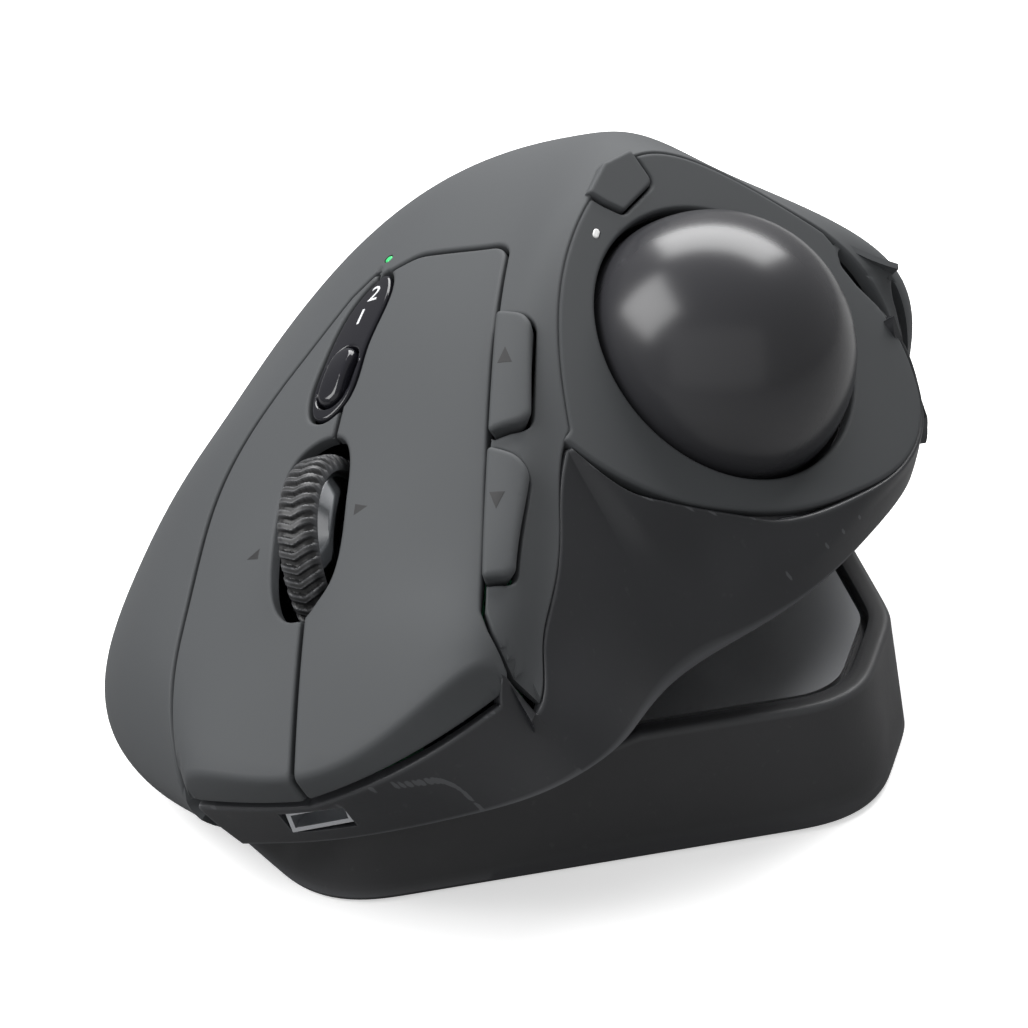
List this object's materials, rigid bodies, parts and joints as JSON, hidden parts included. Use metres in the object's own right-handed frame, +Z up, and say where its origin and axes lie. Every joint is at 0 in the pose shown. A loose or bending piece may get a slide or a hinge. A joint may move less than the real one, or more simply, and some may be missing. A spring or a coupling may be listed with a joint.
{
  "type": "trackball mouse",
  "caption": "Thumb-operated trackball mouse with finger buttons, a scroll wheel, side keys and a wedge base that lets the body lean or lie flat.",
  "frame": {"origin": "middle of the underside of the rubber foot, on the surface the mouse stands on", "axes": "+X to the thumb and ball side, +Y to the palm end, +Z up"},
  "size_m": [0.0924, 0.1244, 0.0678],
  "materials": {
    "graphite_shell": "fine grained",
    "gloss_black": "polished",
    "ball_resin": "polished with fine light specks",
    "black_rubber": "soft matt",
    "satin_steel": "satin",
    "bright_chrome": "polished",
    "circuit_board": "solder mask",
    "white_acetal": "satin",
    "green_light": "clear",
    "white_light": "clear",
    "bearing_ceramic": "polished",
    "battery_foil": "satin"
  },
  "bodies": {
    "base": {"base_wedge": "black_rubber", "foot_pad": "black_rubber", "flat_rest_plate": "satin_steel", "tilted_rest_plate": "satin_steel", "hinge_pin": "satin_steel"},
    "chassis": {"bottom_shell": "graphite_shell", "side_shell": "graphite_shell", "palm_shell": "graphite_shell", "ball_deck": "graphite_shell", "ball_cup": "graphite_shell", "bearing_front": "bearing_ceramic", "bearing_rear": "bearing_ceramic", "bearing_outer": "bearing_ceramic", "optical_sensor": "gloss_black", "main_board": "circuit_board", "battery": "battery_foil", "charging_socket": "satin_steel", "left_switch": "gloss_black", "right_switch": "gloss_black", "middle_switch": "gloss_black", "wheel_encoder": "gloss_black", "magnet_thumb_side": "satin_steel", "magnet_finger_side": "satin_steel", "screw_front_left": "satin_steel", "screw_front_right": "satin_steel", "screw_rear_left": "satin_steel", "screw_rear_right": "satin_steel", "mode_strip": "gloss_black", "status_led": "green_light", "ball_led": "white_light"},
    "ball": {"ball": "ball_resin"},
    "left_button": {"left_button": "graphite_shell"},
    "right_button": {"right_button": "graphite_shell"},
    "wheel_click_frame": {"click_plate": "white_acetal"},
    "wheel_yoke": {"wheel_yoke": "graphite_shell"},
    "wheel": {"wheel_tyre": "black_rubber", "wheel_hub": "bright_chrome", "wheel_axle": "satin_steel"},
    "forward_button": {"forward_button": "graphite_shell"},
    "back_button": {"back_button": "graphite_shell"},
    "mode_button": {"mode_button": "gloss_black"},
    "precision_button": {"precision_button": "graphite_shell"},
    "power_switch": {"power_switch": "black_rubber"}
  },
  "joints": [
    {"name": "base_tilt", "type": "hinge", "parent": "base", "child": "chassis", "pos_m": [0.002, 0, 0.0155], "axis": [0, 1, 0], "range_deg": [0, 20]},
    {"name": "ball_roll", "type": "hinge", "parent": "chassis", "child": "ball", "pos_m": [0.0191, 0.0055, 0.04833], "axis": [0.7801, 0, -0.6257], "continuous": true},
    {"name": "left_click", "type": "hinge", "parent": "chassis", "child": "left_button", "pos_m": [-0.01322, 0.007, 0.05732], "axis": [0.9397, 0, 0.342], "range_deg": [0, 0.6], "stiffness_Nm_per_rad": 2},
    {"name": "right_click", "type": "hinge", "parent": "chassis", "child": "right_button", "pos_m": [-0.03065, 0.0058, 0.04672], "axis": [0.9397, 0, 0.342], "range_deg": [0, 0.6], "stiffness_Nm_per_rad": 2},
    {"name": "wheel_click", "type": "slide", "parent": "chassis", "child": "wheel_click_frame", "axis": [0.342, 0, -0.9397], "range_m": [0, 0.0004], "stiffness_N_per_m": 3000},
    {"name": "wheel_tilt", "type": "hinge", "parent": "wheel_click_frame", "child": "wheel_yoke", "pos_m": [-0.01647, -0.0245, 0.02793], "axis": [0, 1, 0], "range_deg": [-2, 2], "stiffness_Nm_per_rad": 0.5},
    {"name": "wheel_spin", "type": "hinge", "parent": "wheel_yoke", "child": "wheel", "pos_m": [-0.01783, -0.0245, 0.03169], "axis": [0.9397, 0, 0.342], "continuous": true},
    {"name": "forward_press", "type": "slide", "parent": "chassis", "child": "forward_button", "axis": [0.342, 0, -0.9397], "range_m": [0, 0.0005], "stiffness_N_per_m": 1500},
    {"name": "back_press", "type": "slide", "parent": "chassis", "child": "back_button", "axis": [0.342, 0, -0.9397], "range_m": [0, 0.0005], "stiffness_N_per_m": 1500},
    {"name": "mode_press", "type": "slide", "parent": "chassis", "child": "mode_button", "axis": [0.342, 0, -0.9397], "range_m": [0, 0.0004], "stiffness_N_per_m": 1500},
    {"name": "precision_press", "type": "slide", "parent": "chassis", "child": "precision_button", "axis": [-0.587, 0.346, -0.7319], "range_m": [0, 0.0005], "stiffness_N_per_m": 1500},
    {"name": "power_slide", "type": "slide", "parent": "chassis", "child": "power_switch", "axis": [0, 1, 0], "range_m": [0, 0.0044]}
  ]
}
